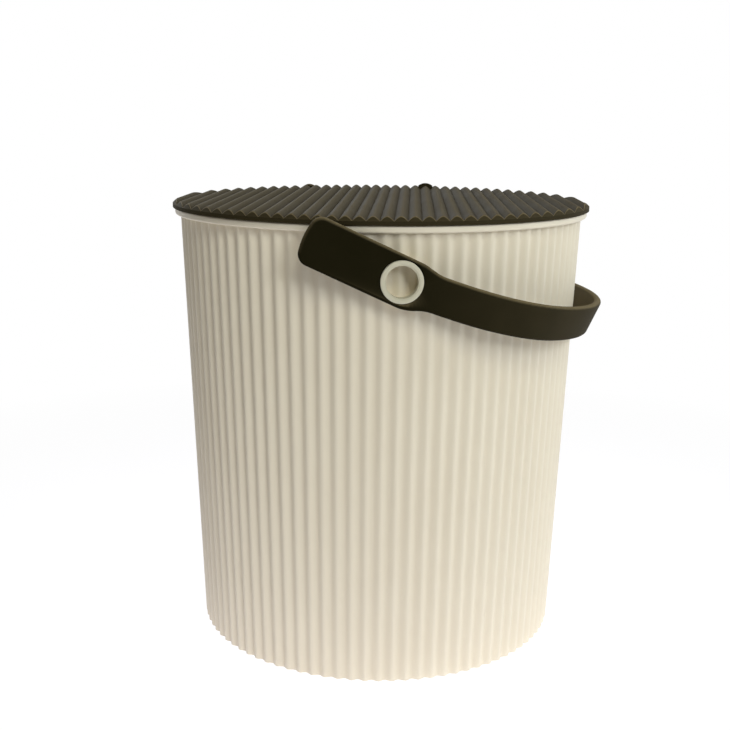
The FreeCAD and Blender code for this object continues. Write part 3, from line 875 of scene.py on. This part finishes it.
class BUCKET_OT_rings(bpy.types.Operator):
    """Build the two snap rings that close the pivots"""

    bl_idname = "bucket.rings"
    bl_label = "Pivot rings"

    def execute(self, context):
        size = context.scene.bucket_look.ring
        face = -ring_low.y
        back = face - size.flange
        tip = -ring_high.y
        soft = size.soft_round
        corners = [
            (size.bore, tip, 0, 0),
            (size.bore, face - size.step, soft, 0),
            (size.bore + size.lip, face - size.step, 0, 0),
            (size.bore + size.lip, face, soft, 0),
            (size.radius, face, size.edge_round, 0),
            (size.radius, back, soft, 0),
            (size.spigot_radius, back, soft, 0),
            (size.spigot_radius, tip, 0, 0),
            (size.bore, tip, 0, 0),
        ]
        for side, node in ((-1, "pivot_ring_front"), (1, "pivot_ring_rear")):
            mesh = on_pivot(lathe(node, corners, "ring_painted_shade_look"), side)
            piece = joined_piece(node.replace("pivot", "snap"), [mesh], "ring_painted_shade_look")
            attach(piece, "bucket")
            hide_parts(node)
        return {"FINISHED"}


# Stage


def area_light(name, place, target, size, power, tint):
    """Square soft light at a place, aimed at a target."""
    lamp = bpy.data.lights.new(name, "AREA")
    lamp.size = size
    lamp.energy = power
    lamp.color = tint
    made = bpy.data.objects.new(name, lamp)
    made.location = place
    made.rotation_euler = (Vector(target) - Vector(place)).to_track_quat("-Z", "Y").to_euler()
    bpy.context.collection.objects.link(made)


def floor_material(stage):
    """Lit white floor: white to the camera, with a soft shadow that fades out round the bucket."""
    material, graph, surface = new_material("floor_look")
    surface.inputs["Base Color"].default_value = (*stage.floor_colour, 1)
    surface.inputs["Roughness"].default_value = stage.floor_roughness
    place = graph.node("ShaderNodeTexCoord", None, (), "Object")
    away = graph.node("ShaderNodeVectorMath", {"operation": "LENGTH"}, (place,), "Value")
    near = (1 - away / stage.glow_reach).math("MAXIMUM", 0)
    rays = graph.tree.nodes.new("ShaderNodeLightPath")
    camera, gloss = (Wire(graph, rays.outputs[f"Is {kind} Ray"]) for kind in ("Camera", "Glossy"))
    seen = camera.math("MAXIMUM", gloss)
    white = graph.node("ShaderNodeEmission", None, WHITE)
    glow = graph.node("ShaderNodeEmission", None,
                      {"Color": (*stage.glow_colour, 1), "Strength": stage.glow_level})
    fading = graph.node("ShaderNodeMixShader", None, {"Fac": near, 2: glow})
    lit = graph.node("ShaderNodeAddShader", None, (Wire(graph, surface.outputs[0]), fading))
    shadow = near.math("MINIMUM", stage.shadow_edge) / stage.shadow_edge * stage.shadow_share
    mixed = graph.node("ShaderNodeMixShader", None, (seen * (1 - shadow), lit, white))
    graph.feed(material.node_tree.nodes["Material Output"].inputs["Surface"], mixed)
    return material


def white_world(stage):
    """Even warm light that shows white to the camera and in gloss."""
    world = bpy.data.worlds.new("studio")
    world.use_nodes = True
    graph = Graph(world.node_tree)
    rays = graph.tree.nodes.new("ShaderNodeLightPath")
    camera, gloss, glass = (Wire(graph, rays.outputs[f"Is {kind} Ray"])
                            for kind in ("Camera", "Glossy", "Transmission"))
    shown = camera.math("MAXIMUM", gloss).math("MAXIMUM", glass)
    warm = graph.node("ShaderNodeBackground", None,
                      {"Color": (*stage.sky_colour, 1), "Strength": stage.sky_level})
    white = graph.node("ShaderNodeBackground", None, WHITE)
    mixed = graph.node("ShaderNodeMixShader", None, (shown, warm, white))
    graph.feed(world.node_tree.nodes["World Output"].inputs["Surface"], mixed)
    bpy.context.scene.world = world


def photo_camera(stage):
    """Camera at the photo's place, with its heading, pitch and roll."""
    ahead = Vector((math.sin(stage.heading) * math.cos(stage.pitch),
                    math.cos(stage.heading) * math.cos(stage.pitch), -math.sin(stage.pitch)))
    level = Vector((math.cos(stage.heading), -math.sin(stage.heading), 0))
    above = level.cross(ahead)
    right = level * math.cos(stage.roll) + above * math.sin(stage.roll)
    up = above * math.cos(stage.roll) - level * math.sin(stage.roll)
    lens = bpy.data.cameras.new("photo_camera")
    lens.lens = stage.lens
    camera = bpy.data.objects.new("photo_camera", lens)
    turned = Matrix((right, up, -ahead)).transposed().to_4x4()
    camera.matrix_world = Matrix.Translation(stage.eye) @ turned
    bpy.context.collection.objects.link(camera)
    return camera


def white_floor(stage):
    """Square floor under the bucket."""
    half = stage.floor_size / 2
    ground = bpy.data.meshes.new("floor")
    ground.from_pydata([(-half, -half, 0), (half, -half, 0), (half, half, 0), (-half, half, 0)], [],
                       [(0, 1, 2, 3)])
    ground.materials.append(floor_material(stage))
    floor = bpy.data.objects.new("floor", ground)
    bpy.context.collection.objects.link(floor)
    return floor


class BUCKET_OT_stage(bpy.types.Operator):
    """Set the camera, the floor and the soft lights"""

    bl_idname = "bucket.stage"
    bl_label = "Stage"

    def execute(self, context):
        scene = context.scene
        stage = scene.bucket_look.stage
        scene.camera = photo_camera(stage)
        floor = white_floor(stage)
        powers = {
            "key": stage.key_power,
            "front": stage.front_power,
            "side": stage.side_power,
            "rear": stage.rear_power,
        }
        middle = (0, 0, shell_high.z / 2)
        for name, (place, width) in LAMPS.items():
            tint = stage.key_colour if name == "key" else stage.lamp_colour
            area_light(name, place, middle, width, powers[name], tint)
        white_world(stage)
        scene.view_settings.view_transform = "Standard"
        return {"FINISHED"}


class BUCKET_PT_panel(bpy.types.Panel):
    """Sizes, finishes and the steps that build the bucket"""

    bl_idname = "BUCKET_PT_panel"
    bl_label = "Bucket With Lid"
    bl_space_type = "VIEW_3D"
    bl_region_type = "UI"
    bl_category = "Bucket"

    def draw(self, context):
        look = context.scene.bucket_look
        for operator in OPERATORS:
            self.layout.operator(operator.bl_idname)
        for group in (look.shell, look.lid, look.ring, look.cream, look.dark, look.stage):
            box = self.layout.box()
            box.label(text=group.__doc__)
            for name in group.__annotations__:
                box.prop(group, name)


OPERATORS = (BUCKET_OT_shell, BUCKET_OT_lid, BUCKET_OT_handle, BUCKET_OT_rings, BUCKET_OT_stage)
GROUPS = (ShellSizes, LidSizes, RingSizes, CreamFinish, DarkFinish, StageSettings, Look)
CLASSES = (*GROUPS, *OPERATORS, BUCKET_PT_panel)


def register():
    """Add the classes and the settings to Blender."""
    for item in CLASSES:
        bpy.utils.register_class(item)
    bpy.types.Scene.bucket_look = PointerProperty(type=Look)


def unregister():
    """Take them out again."""
    del bpy.types.Scene.bucket_look
    for item in reversed(CLASSES):
        bpy.utils.unregister_class(item)


def main():
    """Build every piece and the stage."""
    register()
    bpy.ops.bucket.shell()
    bpy.ops.bucket.lid()
    bpy.ops.bucket.handle()
    bpy.ops.bucket.rings()
    bpy.ops.bucket.stage()


if __name__ == "__main__":
    main()
